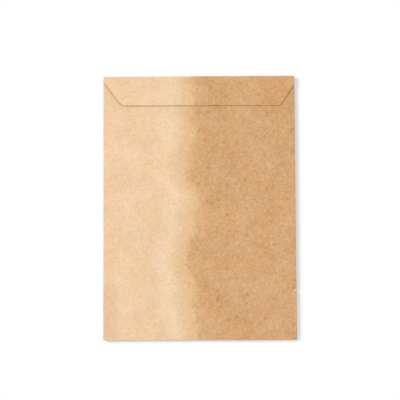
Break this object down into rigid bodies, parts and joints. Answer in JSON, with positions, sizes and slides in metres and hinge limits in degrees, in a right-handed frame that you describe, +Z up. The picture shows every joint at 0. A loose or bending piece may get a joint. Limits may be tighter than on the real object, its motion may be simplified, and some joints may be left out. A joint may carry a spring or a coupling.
{
  "type": "flat paper bag",
  "caption": "Flat kraft paper bag with glued side seams and a slope-sided top flap folded down over its mouth.",
  "frame": {"origin": "under the middle of the bag, on the surface it lies on", "axes": "+Z up, out of the side with the flap; +Y towards the fold of the flap; +X to the right, seen from above with the flap at the top"},
  "size_m": [0.227, 0.312, 0.0022],
  "materials": {
    "kraft_paper": "unbleached kraft paper, matt, paler on the left half of the flap side and browner and more flecked on the right half"
  },
  "bodies": {
    "root": {"paper_bag": "kraft_paper"}
  },
  "joints": []
}
